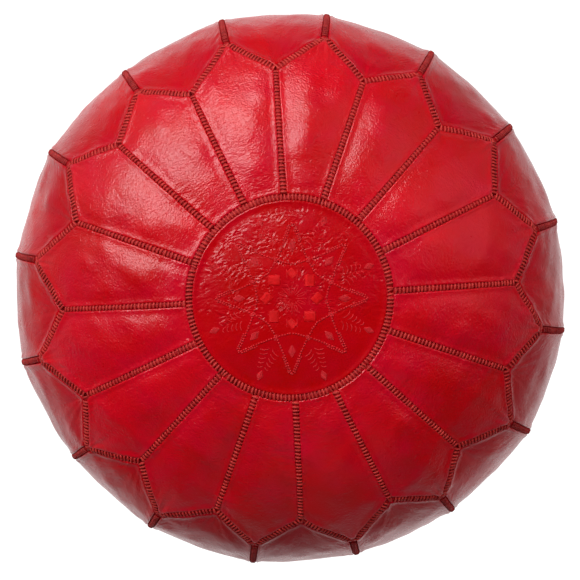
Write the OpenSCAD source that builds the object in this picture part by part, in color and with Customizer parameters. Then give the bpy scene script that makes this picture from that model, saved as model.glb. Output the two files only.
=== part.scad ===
// Moroccan leather pouf: a stuffed floor cushion sewn from leather panels, with a zip across its base.
// Millimetres, +Z up, origin on the floor under the middle of the pouf.

/* [Cover] */
// Radius of the stuffed cover at its widest
cover_radius = 270; // [262:2:286]
// Height of the stuffed cover
cover_height = 330; // [310:5:370]
// Height of the widest level above the floor
widest_height = 155; // [140:5:170]
// How square the top's shoulder is: 2 is an ellipse
top_fullness = 2.5; // [2.2:0.1:2.8]
// How square the lower shoulder is: 2 is an ellipse
base_fullness = 2.2; // [2:0.1:2.6]
// Thickness of the leather, with its folded edges
leather = 2; // [1.6:0.2:2.4]

/* [Top] */
// Radius of the seam round the medallion
medallion_radius = 92; // [84:2:104]
// Distance from the middle to where the seams between two petals end
petal_shoulder = 210; // [200:2:218]
// Distance from the middle to the points of the petals
petal_point = 240; // [230:2:248]

/* [Base] */
// Radius of the seam round the base disc
base_disc_radius = 110; // [108:1:114]
// How far the base disc sits above the floor
base_recess = 12; // [12:1:16]
// Inner radius of the flat ring that the pouf rests on
rest_inner_radius = 140; // [136:1:146]
// Outer radius of the flat ring that the pouf rests on
rest_outer_radius = 178; // [170:1:184]
// Distance from the middle to the inner points of the side panels
base_shoulder = 214; // [206:2:220]
// Distance from the middle to the outer points of the base panels
base_point = 243; // [234:2:248]

/* [Stitching] */
// Width of a stitched seam
seam_width = 6; // [5:0.5:7]
// Gap between a seam and the leather beside it
seam_gap = 0.15; // [0.1:0.05:0.3]
// Depth of a seam below the face of the leather
seam_sink = 0.4; // [0.3:0.1:0.6]

/* [Embroidery] */
// Distance from the middle to the tips of the two stars
star_tip = 68; // [60:1:74]
// Distance from the middle to the nearest point of a star's side
star_waist = 33; // [28:1:36]
// Width of an embroidered line
star_line = 1.8; // [1.4:0.2:2.4]
// Turn of the embroidery against the petals, in degrees
star_turn = -3.4; // [-6:0.2:6]
// Side of a leather lozenge
lozenge_side = 9.5; // [8:0.5:11]
// Distance from the middle to a lozenge
lozenge_radius = 23; // [21:0.5:25]

/* [Zip] */
// Length of the opening in the base disc
zip_length = 184; // [170:2:184]
// Width of the opening in the base disc
zip_opening = 14; // [14:0.5:16]
// Distance between two teeth on one tape
tooth_pitch = 3.6; // [3.4:0.1:4]
// Length of the slider
slider_length = 15; // [14:0.5:16]
// Length of the pull tab, from its pin to its tip
pull_length = 26; // [22:1:27]
// How far the pull tab hangs down at rest, in degrees
pull_droop = 16; // [0:1:17]

/* [Hidden] */
petal_count = 16;
base_panel_count = 8;
pitch = 360 / petal_count;
half_pitch = pitch / 2;
far = 2 * cover_radius;
panel_inset = seam_width / 2 + seam_gap;
liner = 1;
liner_gap = 0.6;
stuffing_depth = leather + liner_gap + liner + liner_gap;

function two_digits(k) = k < 10 ? str("0", k) : str(k);
function numbered(stem, count) = [for (k = [1:count]) str(stem, two_digits(k))];
PETALS = numbered("top_petal_", petal_count);
SIDES = numbered("side_panel_", petal_count);
BASES = numbered("base_panel_", base_panel_count);

// ---- Points and outlines ----

function polar(r, a) = [r * cos(a), r * sin(a)];
function unit(v) = v / norm(v);
function left_of(v) = [-v[1], v[0]];

// A closed anticlockwise outline with each side moved in by d.
function inset(p, d) = [
    for (i = [0:len(p) - 1])
        let (
            before = left_of(unit(p[i] - p[(i + len(p) - 1) % len(p)])),
            after = left_of(unit(p[(i + 1) % len(p)] - p[i]))
        )
        p[i] + d * (before + after) / (1 + before * after)
];

// The zigzag round all the petals: shoulders in line with the seams, points between them.
function zigzag(shoulder, point) = [
    for (k = [0:petal_count - 1], tip = [0, 1])
        polar(tip == 0 ? shoulder : point, k * pitch + tip * half_pitch)
];

// One panel of the top or base, from the middle out to its zigzag edge over a number of pitches.
function panel_outline(shoulder, point, first, pitches) = concat(
    [[0, 0], polar(shoulder, first)],
    [
        for (k = [0:pitches - 1], tip = [1, 2])
            polar(tip == 1 ? point : shoulder, first + k * pitch + tip * half_pitch)
    ]
);

// ---- The cover's half profile, as [radius, height], from the middle of the base to the top ----

recess_edge = base_disc_radius + 2;
recess_curve = [
    for (s = [0:0.2:1])
        [
            recess_edge + s * (rest_inner_radius - recess_edge),
            base_recess * (1 + cos(180 * s)) / 2
        ]
];
lower_curve = [
    for (t = [0:10:90])
        [
            rest_outer_radius + (cover_radius - rest_outer_radius) * pow(sin(t), 2 / base_fullness),
            widest_height * (1 - pow(cos(t), 2 / base_fullness))
        ]
];
upper_curve = [
    for (t = [8:7.4:82])
        [
            cover_radius * pow(cos(t), 2 / top_fullness),
            widest_height + (cover_height - widest_height) * pow(sin(t), 2 / top_fullness)
        ]
];
profile = concat([[0, base_recess]], recess_curve, lower_curve, upper_curve, [[0, cover_height]]);

// The profile moved in by d, square to itself.
function skin(d) = [
    for (i = [0:len(profile) - 1])
        let (
            first = i == 0,
            last = i == len(profile) - 1,
            run = profile[min(i + 1, len(profile) - 1)] - profile[max(i - 1, 0)],
            inward = first ? [0, 1] : last ? [0, -1] : left_of(unit(run))
        )
        profile[i] + d * inward
];

function backwards(p) = [for (i = [len(p) - 1:-1:0]) p[i]];

// A shell of the cover's shape, between two depths under its face.
module shell(outer, inner) {
    rotate_extrude($fn = 128) polygon(concat(skin(outer), backwards(skin(inner))));
}

module leather_shell() {
    shell(0, leather);
}

module stitch_shell() {
    shell(seam_sink, leather - seam_sink);
}

module upper(outline) {
    translate([0, 0, widest_height]) linear_extrude(cover_height) polygon(outline);
}

module lower(outline) {
    translate([0, 0, -1]) linear_extrude(widest_height + 1) polygon(outline);
}

module upper_disc(r) {
    translate([0, 0, widest_height]) cylinder(h = cover_height, r = r, $fn = 128);
}

module lower_disc(r) {
    translate([0, 0, -1]) cylinder(h = widest_height + 1, r = r, $fn = 128);
}

// ---- Leather panels ----

module top_medallion() {
    color("firebrick") intersection() {
        leather_shell();
        upper_disc(medallion_radius - panel_inset);
    }
}

module top_petal(k) {
    outline = panel_outline(petal_shoulder, petal_point, (k - 1) * pitch, 1);
    color("crimson") difference() {
        intersection() {
            leather_shell();
            upper(inset(outline, panel_inset));
        }
        upper_disc(medallion_radius + panel_inset);
    }
}

module side_panel(k) {
    middle = (k - 1) * pitch;
    wedge = [[0, 0], polar(far, middle - half_pitch), polar(far, middle + half_pitch)];
    color("firebrick") difference() {
        intersection() {
            leather_shell();
            translate([0, 0, -1]) linear_extrude(cover_height + 2) polygon(inset(wedge, panel_inset));
        }
        upper(inset(zigzag(petal_shoulder, petal_point), -panel_inset));
        lower(inset(zigzag(base_shoulder, base_point), -panel_inset));
    }
}

module base_panel(k) {
    pitches = petal_count / base_panel_count;
    outline = panel_outline(base_shoulder, base_point, (k - 1) * pitches * pitch, pitches);
    color("firebrick") difference() {
        intersection() {
            leather_shell();
            lower(inset(outline, panel_inset));
        }
        lower_disc(base_disc_radius + panel_inset);
    }
}

// Half of the base disc, on the side of the zip that side points to.
module base_disc_half(side) {
    color("firebrick") difference() {
        intersection() {
            leather_shell();
            lower_disc(base_disc_radius - panel_inset);
            translate([-far, side > 0 ? seam_gap : -far, -1]) cube([2 * far, far - seam_gap, widest_height]);
        }
        translate([-zip_length / 2, -zip_opening / 2, -1]) cube([zip_length, zip_opening, widest_height]);
    }
}

// ---- Stitched seams ----

// Radial strips of the stitch shell, one at each of count angles from the first.
module radial_strips(count, first, height_from, height_to) {
    intersection() {
        stitch_shell();
        union() {
            for (k = [0:count - 1])
                rotate(first + k * 360 / count)
                    translate([0, -seam_width / 2, height_from])
                        cube([far, seam_width, height_to - height_from]);
        }
    }
}

module ring_strip(radius, height_from, height_to) {
    intersection() {
        stitch_shell();
        translate([0, 0, height_from]) difference() {
            cylinder(h = height_to - height_from, r = radius + seam_width / 2, $fn = 128);
            translate([0, 0, -1]) cylinder(h = far, r = radius - seam_width / 2, $fn = 128);
        }
    }
}

module medallion_ring_stitching() {
    color("brown") ring_strip(medallion_radius, widest_height, cover_height + 1);
}

module petal_seam_stitching() {
    color("brown") difference() {
        intersection() {
            radial_strips(petal_count, 0, widest_height, cover_height + 1);
            upper(inset(zigzag(petal_shoulder, petal_point), panel_inset));
        }
        upper_disc(medallion_radius + panel_inset);
    }
}

module top_zigzag_stitching() {
    edge = zigzag(petal_shoulder, petal_point);
    color("brown") difference() {
        intersection() {
            stitch_shell();
            upper(inset(edge, -seam_width / 2));
        }
        upper(inset(edge, seam_width / 2));
    }
}

module side_seam_stitching() {
    color("brown") difference() {
        radial_strips(petal_count, half_pitch, -1, cover_height + 1);
        upper(inset(zigzag(petal_shoulder, petal_point), -panel_inset));
        lower(inset(zigzag(base_shoulder, base_point), -panel_inset));
    }
}

module base_zigzag_stitching() {
    edge = zigzag(base_shoulder, base_point);
    color("brown") difference() {
        intersection() {
            stitch_shell();
            lower(inset(edge, -seam_width / 2));
        }
        lower(inset(edge, seam_width / 2));
    }
}

module base_seam_stitching() {
    color("brown") difference() {
        intersection() {
            radial_strips(base_panel_count, 0, -1, widest_height);
            lower(inset(zigzag(base_shoulder, base_point), panel_inset));
        }
        lower_disc(base_disc_radius + panel_inset);
    }
}

module base_ring_stitching() {
    color("brown") ring_strip(base_disc_radius, -1, widest_height);
}

// ---- Embroidery on the medallion ----

star_directions = 8;
star_step = 360 / star_directions;
// Each side of a star is an arc, centred outside it, through two tips and the waist between them.
arc_centre = (star_tip * star_tip - star_waist * star_waist) / (2 * (star_tip * cos(star_step) - star_waist));
arc_radius = arc_centre - star_waist;
small_lozenge_side = 4.5;
inner_lozenge_radius = 46;
outer_lozenge_radius = 72;
thread_height = 0.8;

module lozenge(side, distance) {
    translate([distance, 0, widest_height + cover_height / 2])
        rotate(star_step) cube([side, side, cover_height], center = true);
}

module star_sides() {
    intersection() {
        union() {
            for (k = [0:star_directions - 1])
                rotate(k * star_step) translate([arc_centre, 0, widest_height]) difference() {
                    cylinder(h = cover_height, r = arc_radius + star_line / 2, $fn = 128);
                    translate([0, 0, -1]) cylinder(h = far, r = arc_radius - star_line / 2, $fn = 128);
                }
        }
        upper_disc(star_tip);
    }
}

module medallion_embroidery() {
    color("red") intersection() {
        shell(-thread_height, -0.02);
        rotate(star_turn) union() {
            star_sides();
            for (k = [0:star_directions - 1]) rotate(k * star_step) {
                lozenge(lozenge_side, lozenge_radius);
                lozenge(small_lozenge_side, inner_lozenge_radius);
                rotate(star_step / 2) lozenge(small_lozenge_side, outer_lozenge_radius);
            }
        }
    }
}

// ---- Zip ----

tape = 0.8;
tape_width = 14;
tape_overlap = 8;
// The tapes' edges stand apart, and the teeth that grip them reach over the middle.
tape_edge = 2.3;
tape_bottom = base_recess + leather + 0.1;
zip_middle = tape_bottom + tape / 2;
tooth_thick = 1.5;
tooth_height = 2.6;
tooth_reach = 0.8;
tooth_back = 4;
stop_margin = 0.5;
top_stop_length = 2.2;
bottom_stop_length = 4;
slider_width = 12;
slider_clearance = 0.6;
plate = 1.3;
flange = 1;
// The slider at rest stands at the closed end, just clear of the top stops.
slider_start = -zip_length / 2 + stop_margin + top_stop_length + 0.3 + slider_length / 2;
first_tooth = slider_start - 0.4;
last_tooth = zip_length / 2 - stop_margin - bottom_stop_length - 1.5;
tooth_count = floor((last_tooth - first_tooth) / tooth_pitch);

module zip_tape(side) {
    length = zip_length + 2 * tape_overlap;
    color("darkred") translate([-length / 2, side > 0 ? tape_edge : -tape_edge - tape_width, tape_bottom])
        cube([length, tape_width, tape]);
}

// A row of teeth. The teeth of one side stand between those of the other.
module zip_teeth(side) {
    stagger = side > 0 ? 0 : tooth_pitch / 2;
    color("darkred") for (k = [0:tooth_count - 1])
        translate([
            first_tooth + stagger + k * tooth_pitch,
            side > 0 ? -tooth_reach : -tooth_back,
            zip_middle - tooth_height / 2
        ])
            cube([tooth_thick, tooth_reach + tooth_back, tooth_height]);
}

// Two top stops, one on each tape, and the bottom stop that joins the tapes.
module zip_end_stops() {
    low = zip_middle - tooth_height / 2;
    color("darkred") {
        for (side = [-1, 1])
            translate([-zip_length / 2 + stop_margin, side > 0 ? 1 : -tooth_back, low])
                cube([top_stop_length, tooth_back - 1, tooth_height]);
        translate([zip_length / 2 - stop_margin - bottom_stop_length, -tooth_back, low])
            cube([bottom_stop_length, 2 * tooth_back, tooth_height]);
    }
}

plate_gap = tooth_height / 2 + slider_clearance;
wedge_half_width = 2;
lug_thick = 1;
lug_length = 3;
lug_lip = 1.4;
lug_inner = 2;
pin_radius = 0.8;
pin_clearance = 0.06;
pin_drop = 2.3;
pin_height = zip_middle - plate_gap - plate - pin_drop;

// One of the slider's two plates, with flanges along its edges that turn in towards the tapes.
module slider_plate(side) {
    reach = plate_gap - tape / 2 - 0.5;
    translate([slider_start - slider_length / 2, -slider_width / 2, zip_middle])
        mirror([0, 0, side > 0 ? 0 : 1]) {
            translate([0, 0, plate_gap]) cube([slider_length, slider_width, plate]);
            for (y = [0, slider_width - flange])
                translate([0, y, plate_gap - reach]) cube([slider_length, flange, reach]);
        }
}

// The wedge that parts the two rows of teeth and holds the slider's plates together.
module slider_wedge() {
    nose = 1 - slider_length / 2;
    tail = -1.2;
    shoulder = nose + wedge_half_width;
    translate([slider_start, 0, zip_middle - plate_gap - plate / 2])
        linear_extrude(2 * plate_gap + plate)
            polygon([[nose, 0], [shoulder, -wedge_half_width], [tail, 0], [shoulder, wedge_half_width]]);
}

module zip_slider() {
    color("goldenrod") union() {
        slider_plate(1);
        slider_plate(-1);
        slider_wedge();
        // The lugs and the pin that carry the pull tab.
        for (y = [-lug_inner - lug_thick, lug_inner])
            translate([slider_start - lug_length / 2, y, pin_height - lug_lip])
                cube([lug_length, lug_thick, pin_drop + lug_lip + plate / 2]);
        translate([slider_start, 0, pin_height]) rotate([90, 0, 0])
            cylinder(h = 2 * (lug_inner + lug_thick), r = pin_radius, center = true, $fn = 48);
    }
}

module zip_pull_tab() {
    thick = 1.4;
    neck_width = 2 * lug_inner - 0.6;
    eye_radius = 1.9;
    blade_width = 7;
    blade_start = 4;
    tip_centre = pull_length - blade_width / 2;
    color("goldenrod") translate([slider_start, 0, pin_height]) rotate([0, pull_droop, 0]) difference() {
        union() {
            rotate([90, 0, 0]) cylinder(h = neck_width, r = eye_radius, center = true, $fn = 48);
            translate([0, -neck_width / 2, -thick / 2]) cube([blade_start + 1, neck_width, thick]);
            translate([blade_start, -blade_width / 2, -thick / 2])
                cube([tip_centre - blade_start, blade_width, thick]);
            translate([tip_centre, 0, -thick / 2]) cylinder(h = thick, d = blade_width, $fn = 48);
        }
        rotate([90, 0, 0]) cylinder(h = far, r = pin_radius + pin_clearance, center = true, $fn = 48);
        translate([tip_centre, 0, -far / 2]) cylinder(h = far, r = 1.6, $fn = 48);
    }
}

// ---- Filling ----

// Room above the zip for its tapes and the slider's upper plate.
module zip_room(height) {
    length = zip_length + 2 * tape_overlap + 4;
    width = 2 * (tape_edge + tape_width) + 4;
    translate([-length / 2, -width / 2, -1]) cube([length, width, base_recess + height + 1]);
}

// The liner's mouth faces the zip.
module inner_liner_bag() {
    color("linen") difference() {
        shell(leather + liner_gap, leather + liner_gap + liner);
        zip_room(20);
    }
}

module stuffing() {
    color("ivory") difference() {
        rotate_extrude($fn = 128) polygon(skin(stuffing_depth));
        zip_room(8);
    }
}

// ---- Nodes ----

top_medallion();
medallion_embroidery();
for (k = [1:petal_count]) {
    top_petal(k);
    side_panel(k);
}
for (k = [1:base_panel_count]) {
    base_panel(k);
}
base_disc_half(-1);  // base_disc_front
base_disc_half(1);  // base_disc_back
medallion_ring_stitching();
petal_seam_stitching();
top_zigzag_stitching();
side_seam_stitching();
base_zigzag_stitching();
base_seam_stitching();
base_ring_stitching();
zip_tape(-1);  // zip_tape_front
zip_tape(1);  // zip_tape_back
zip_teeth(-1);  // zip_teeth_front
zip_teeth(1);  // zip_teeth_back
zip_end_stops();
zip_slider();
zip_pull_tab();
inner_liner_bag();
stuffing();
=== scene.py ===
"""The looks of a stuffed leather pouf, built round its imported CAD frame. Lengths are in metres."""

import math

import bpy
import numpy as np
from mathutils import Matrix, Vector


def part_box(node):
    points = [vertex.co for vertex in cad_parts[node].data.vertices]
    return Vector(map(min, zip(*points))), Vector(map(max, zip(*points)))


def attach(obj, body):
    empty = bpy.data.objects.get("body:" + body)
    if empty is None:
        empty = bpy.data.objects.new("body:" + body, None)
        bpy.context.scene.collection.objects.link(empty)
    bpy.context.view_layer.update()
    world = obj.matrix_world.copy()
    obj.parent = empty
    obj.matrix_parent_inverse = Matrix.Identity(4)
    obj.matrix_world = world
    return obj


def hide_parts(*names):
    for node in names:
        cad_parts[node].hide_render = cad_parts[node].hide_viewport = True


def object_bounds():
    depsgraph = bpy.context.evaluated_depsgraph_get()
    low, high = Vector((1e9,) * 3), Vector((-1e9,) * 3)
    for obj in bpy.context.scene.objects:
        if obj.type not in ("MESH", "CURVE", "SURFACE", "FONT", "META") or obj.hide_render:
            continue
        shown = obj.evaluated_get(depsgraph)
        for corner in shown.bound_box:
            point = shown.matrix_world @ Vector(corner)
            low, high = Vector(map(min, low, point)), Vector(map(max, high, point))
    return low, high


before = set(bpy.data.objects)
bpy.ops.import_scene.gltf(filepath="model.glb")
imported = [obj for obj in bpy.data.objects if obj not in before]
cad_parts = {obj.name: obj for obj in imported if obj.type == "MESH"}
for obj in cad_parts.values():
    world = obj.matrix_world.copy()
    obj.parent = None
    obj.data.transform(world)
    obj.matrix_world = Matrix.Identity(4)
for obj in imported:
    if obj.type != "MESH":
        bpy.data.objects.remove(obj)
cad_low, cad_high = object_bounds()

MM = 0.001
TAU = 2 * math.pi

# ---- Sizes of the cover, from the frame ----

SEAM = 6 * MM
COVER_R = cad_high.x
COVER_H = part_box("top_medallion")[1].z
WIDEST_Z = 0.47 * COVER_H
RING_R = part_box("medallion_ring_stitching")[1].x - SEAM / 2
BASE_RING_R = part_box("base_ring_stitching")[1].x - SEAM / 2
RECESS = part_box("base_disc_front")[0].z
TOP_SHOULDER_R = 0.778 * COVER_R
TOP_POINT_R = 0.889 * COVER_R
BASE_SHOULDER_R = 0.793 * COVER_R
BASE_POINT_R = 0.9 * COVER_R
REST_INNER_R = 0.5185 * COVER_R
REST_OUTER_R = 0.659 * COVER_R
TOP_FULLNESS = 2.5
BASE_FULLNESS = 2.2

PITCHES = 16
LINES = 2 * PITCHES  # even lines run through the seams between petals, odd ones through the petals' points
LINE_STEP = TAU / LINES

SEED = 11
VALLEY = 0.6 * MM  # how far the seams lie under the cover's nominal skin
HALF_GAP = 2.4 * MM  # from the middle of a seam to the leather's folded edge
LEATHER = 1.9 * MM


def smooth(x):
    """Goes smoothly from 0 to 1 as x does."""
    x = np.clip(x, 0, 1)
    return x * x * (3 - 2 * x)


def unit(v):
    return v / np.maximum(np.linalg.norm(v, axis=-1, keepdims=True), 1e-12)


def waves(seed, shortest, longest, dims, count=36, stretch=None):
    """A smooth random field made of waves of random directions. Its spread is about 1."""
    rng = np.random.default_rng(seed)
    ways = unit(rng.normal(size=(count, dims)))
    if stretch is not None:
        ways = ways * np.asarray(stretch)
    lengths = np.exp(rng.uniform(math.log(shortest), math.log(longest), count))
    turns = TAU * ways / lengths[:, None]
    phases = rng.uniform(0, TAU, count)

    def field(points):
        return np.cos(points @ turns.T + phases).sum(-1) * math.sqrt(2 / count)

    return field


# ---- The cover's half profile, as radius and height along its length from the top's middle ----


def half_profile(samples=1600):
    """Superellipses over and under the widest level, the flat rest, and the recess of the base."""
    t = np.linspace(math.pi / 2, 0, samples)
    top_r = COVER_R * np.cos(t) ** (2 / TOP_FULLNESS)
    top_z = WIDEST_Z + (COVER_H - WIDEST_Z) * np.sin(t) ** (2 / TOP_FULLNESS)
    t = np.linspace(math.pi / 2, 0, samples)[1:]
    low_r = REST_OUTER_R + (COVER_R - REST_OUTER_R) * np.sin(t) ** (2 / BASE_FULLNESS)
    low_z = WIDEST_Z * (1 - np.cos(t) ** (2 / BASE_FULLNESS))
    edge_r = BASE_RING_R + 2 * MM
    t = np.linspace(1, 0, samples)
    recess_r = edge_r + t * (REST_INNER_R - edge_r)
    recess_z = RECESS * (1 + np.cos(math.pi * t)) / 2
    radius = np.concatenate([top_r, low_r, recess_r, [0]])
    height = np.concatenate([top_z, low_z, recess_z, [RECESS]])
    radius[0] = 0
    return radius, height


PROFILE_R, PROFILE_Z = half_profile()
PROFILE_S = np.concatenate([[0], np.cumsum(np.hypot(np.diff(PROFILE_R), np.diff(PROFILE_Z)))])
WIDEST_INDEX = int(np.argmax(PROFILE_R))


def top_s(r):
    """How far along the profile the top reaches radius r."""
    return np.interp(r, PROFILE_R[: WIDEST_INDEX + 1], PROFILE_S[: WIDEST_INDEX + 1])


def base_s(r):
    """How far along the profile the underside comes back to radius r."""
    return np.interp(-np.asarray(r), -PROFILE_R[WIDEST_INDEX:], PROFILE_S[WIDEST_INDEX:])


def revolve(angle, s, depth):
    """The point of the cover's shape at an angle and a place on the profile, depth under its skin."""
    step = 2 * MM
    r = np.interp(s, PROFILE_S, PROFILE_R)
    z = np.interp(s, PROFILE_S, PROFILE_Z)
    dr = np.interp(s + step, PROFILE_S, PROFILE_R) - np.interp(s - step, PROFILE_S, PROFILE_R)
    dz = np.interp(s + step, PROFILE_S, PROFILE_Z) - np.interp(s - step, PROFILE_S, PROFILE_Z)
    size = np.maximum(np.hypot(dr, dz), 1e-9)
    out_r, out_z = -dz / size, dr / size
    r = r - depth * out_r
    z = z - depth * out_z
    normal = np.stack([out_r * np.cos(angle), out_r * np.sin(angle), out_z], -1)
    return np.stack([r * np.cos(angle), r * np.sin(angle), z], -1), normal


# ---- The seam lines, a little uneven as hand work is ----

TURN_SPREAD, MOST_TURN = 0.28, 0.55  # degrees that a line is off its even place
SWAY_SPREAD = 0.22  # degrees that it sways on its way down
SWAYS = 1.4
POINT_SPREAD, MOST_POINT = 1.5 * MM, 2.6 * MM  # how far the zigzags' corners are off their radius
hand = np.random.default_rng(SEED)
line_turn = np.radians(np.clip(hand.normal(0, TURN_SPREAD, LINES), -MOST_TURN, MOST_TURN))
line_sway = np.radians(hand.normal(0, SWAY_SPREAD, LINES))
line_phase = hand.uniform(0, TAU, LINES)
uneven = np.clip(hand.normal(0, POINT_SPREAD, (2, LINES)), -MOST_POINT, MOST_POINT)
even_line = np.arange(LINES) % 2 == 0
top_zigzag_r = np.where(even_line, TOP_SHOULDER_R, TOP_POINT_R) + uneven[0]
base_zigzag_r = np.where(even_line, BASE_SHOULDER_R, BASE_POINT_R) + uneven[1]


def line_angle(line, s):
    """How far a line is off its even angle, at a place on the profile."""
    line = np.asarray(line) % LINES
    sway = line_sway[line] * np.sin(TAU * s / PROFILE_S[-1] * SWAYS + line_phase[line])
    return line_turn[line] + sway


def angle_at(q, s):
    """The angle round the cover at line number q, which runs on between the lines."""
    line = np.floor(q).astype(int)
    part = q - line
    return q * LINE_STEP + (1 - part) * line_angle(line, s) + part * line_angle(line + 1, s)


def zigzag_r(q, radii):
    """The radius of a zigzag seam, whose sides are straight in plan."""
    line = np.floor(q).astype(int)
    part = q - line
    a, b = radii[line % LINES], radii[(line + 1) % LINES]
    across = np.sin(part * LINE_STEP) * a + np.sin((1 - part) * LINE_STEP) * b
    return a * b * math.sin(LINE_STEP) / across


LUMP, LUMP_FADE = 2.0 * MM, 60 * MM
lumps = waves(SEED + 1, 0.16, 0.5, 3, 24)


def lumpy(points, normals):
    """Moves points in and out a little, as stuffing does, but not where the pouf rests."""
    fade = smooth(points[..., 2] / LUMP_FADE)[..., None]
    return points + normals * fade * (LUMP * lumps(points)[..., None])


def skeleton(q, s):
    """The place of the seams' lines at line number q."""
    return lumpy(*revolve(angle_at(q, s), s, VALLEY))


# ---- The cover's sheet: a grid whose lines follow every seam ----

COLUMNS = 8  # grid columns from one line to the next
ROWS = {"petals": 22, "sides": 44, "base": 16}
SEAM_PERIOD = {"petals": 2, "sides": 2, "base": 4}
FIRST_SEAM = {"petals": 0, "sides": 1, "base": 0}
FLATNESS = 0.7  # how far the leather is pulled straight between two seams, before it is stuffed


def region_s(region, q, v):
    """Where row v, from 0 to 1, of a region crosses line q."""
    upper, lower = top_s(zigzag_r(q, top_zigzag_r)), base_s(zigzag_r(q, base_zigzag_r))
    start, end = {
        "petals": (top_s(RING_R) + 0 * q, upper),
        "sides": (upper, lower),
        "base": (lower, base_s(BASE_RING_R) + 0 * q),
    }[region]
    return start + (end - start) * v


def region_rest(region):
    """The region's sheet before it is stuffed."""
    q, v = np.meshgrid(
        np.arange(LINES * COLUMNS) / COLUMNS, np.linspace(0, 1, ROWS[region] + 1)
    )
    s = region_s(region, q, v)
    points = skeleton(q, s)
    if region == "base":
        return points
    period, first = SEAM_PERIOD[region], FIRST_SEAM[region]
    before = np.floor((q - first) / period + 1e-9) * period + first
    part = ((q - before) / period)[..., None]
    chord = (1 - part) * skeleton(before, s) + part * skeleton(before + period, s)
    near_ends = smooth(v / 0.2) * smooth((1 - v) / 0.3)
    return points + FLATNESS * near_ends[..., None] * (chord - points)


def whole_sheet():
    """All the regions' rows in one grid, and which of its points are sewn."""
    rows, sewn, starts = [], [], {}
    count = 0
    column = np.arange(LINES * COLUMNS)
    for region in ("petals", "sides", "base"):
        grid = region_rest(region)
        period, first = SEAM_PERIOD[region] * COLUMNS, FIRST_SEAM[region] * COLUMNS
        on_seam = np.tile((column - first) % period == 0, (len(grid), 1))
        on_seam[[0, -1]] = True
        if rows:
            grid, on_seam = grid[1:], on_seam[1:]
            count -= 1
        starts[region] = count
        rows.append(grid)
        sewn.append(on_seam)
        count += len(grid) + (1 if len(rows) > 1 else 0)
    return np.concatenate(rows), np.concatenate(sewn), starts


def grid_faces(index, flip=False):
    """The quads of a grid of vertex numbers."""
    quads = np.stack([index[:-1, :-1], index[1:, :-1], index[1:, 1:], index[:-1, 1:]], -1)
    quads = quads.reshape(-1, 4)
    return quads[:, ::-1] if flip else quads


def ring_index(rows, columns):
    """The vertex numbers of rings of points, with each ring's first one again at its end."""
    index = np.arange(rows * columns).reshape(rows, columns)
    return np.concatenate([index, index[:, :1]], 1)


def placed(name, data):
    """A new object of the scene that holds the data."""
    shown = bpy.data.objects.new(name, data)
    bpy.context.scene.collection.objects.link(shown)
    return shown


STUFFED_FRAMES = 14
MOST_SWELL = 11 * MM
FIRST_SWELL = {"petals": 4.6 * MM, "sides": 1.4 * MM, "base": 0.6 * MM}
FLOOR_GAP = 0.3 * MM  # the leather's least height over the floor
CLOTH = {
    "quality": 6,
    "mass": 0.02,
    "air_damping": 4,
    "tension_stiffness": 80,
    "compression_stiffness": 80,
    "shear_stiffness": 15,
    "bending_stiffness": 2,
    "tension_damping": 12,
    "compression_damping": 12,
    "shear_damping": 12,
    "bending_damping": 2,
    "vertex_group_mass": "pins",
    "pin_stiffness": 1,
    "use_pressure": True,
    "uniform_pressure_force": 260,
}


def swelled_by_hand(rest, starts, normals, share=1.0):
    """Each panel swelled smoothly between its seams. The cloth starts from this, so it is cut full."""
    heights = np.zeros(rest.shape[:2])
    for region, swell in FIRST_SWELL.items():
        period, first = SEAM_PERIOD[region], FIRST_SEAM[region]
        rows = ROWS[region] + 1
        q = np.arange(LINES * COLUMNS) / COLUMNS
        across = ((q - first) / period) % 1
        v = np.linspace(0, 1, rows)
        bump = (4 * across * (1 - across))[None] ** 0.7 * ((4 * v * (1 - v)) ** 0.5)[:, None]
        heights[starts[region] : starts[region] + rows] = share * swell * bump
    return rest + normals * heights[..., None]


def stuffed_by_cloth(start, sewn):
    """Blows the sheet up with Blender's cloth, sewn down at its seams, and returns its new points."""
    rows, columns = start.shape[:2]
    mesh = bpy.data.meshes.new("sheet")
    faces = grid_faces(ring_index(rows, columns))
    mesh.from_pydata(start.reshape(-1, 3).tolist(), [], faces.tolist())
    sheet = placed("sheet", mesh)
    pins = sheet.vertex_groups.new(name="pins")
    pins.add(np.flatnonzero(sewn.ravel()).tolist(), 1.0, "REPLACE")
    cloth = sheet.modifiers.new("cloth", "CLOTH")
    for key, value in CLOTH.items():
        setattr(cloth.settings, key, value)
    cloth.settings.effector_weights.gravity = 0
    cloth.collision_settings.use_collision = False
    cloth.point_cache.frame_start = 1
    cloth.point_cache.frame_end = STUFFED_FRAMES
    scene = bpy.context.scene
    for step in range(1, STUFFED_FRAMES + 1):
        scene.frame_set(step)
    shown = sheet.evaluated_get(bpy.context.evaluated_depsgraph_get())
    points = np.zeros(rows * columns * 3)
    shown.data.vertices.foreach_get("co", points)
    scene.frame_set(1)
    bpy.data.objects.remove(sheet)
    return points.reshape(start.shape)


def grid_normals(points, closed=False):
    """Outward normals of a grid whose rows run down the cover and whose columns run round it."""
    if closed:
        ring = np.concatenate([points[:, -1:], points, points[:, :1]], 1)
        across = np.gradient(ring, axis=1)[:, 1:-1]
    else:
        across = np.gradient(points, axis=1)
    return unit(np.cross(np.gradient(points, axis=0), across))


def stuffed_sheet():
    """The sheet after stuffing, and the first row of each of its regions."""
    rest, sewn, starts = whole_sheet()
    normals = grid_normals(rest, True)
    points = stuffed_by_cloth(swelled_by_hand(rest, starts, normals), sewn)
    swell = points - rest
    size = np.linalg.norm(swell, axis=-1, keepdims=True)
    points = rest + swell * np.minimum(1, MOST_SWELL / np.maximum(size, 1e-9))
    points[..., 2] = np.maximum(points[..., 2], FLOOR_GAP)
    return points, starts


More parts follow.
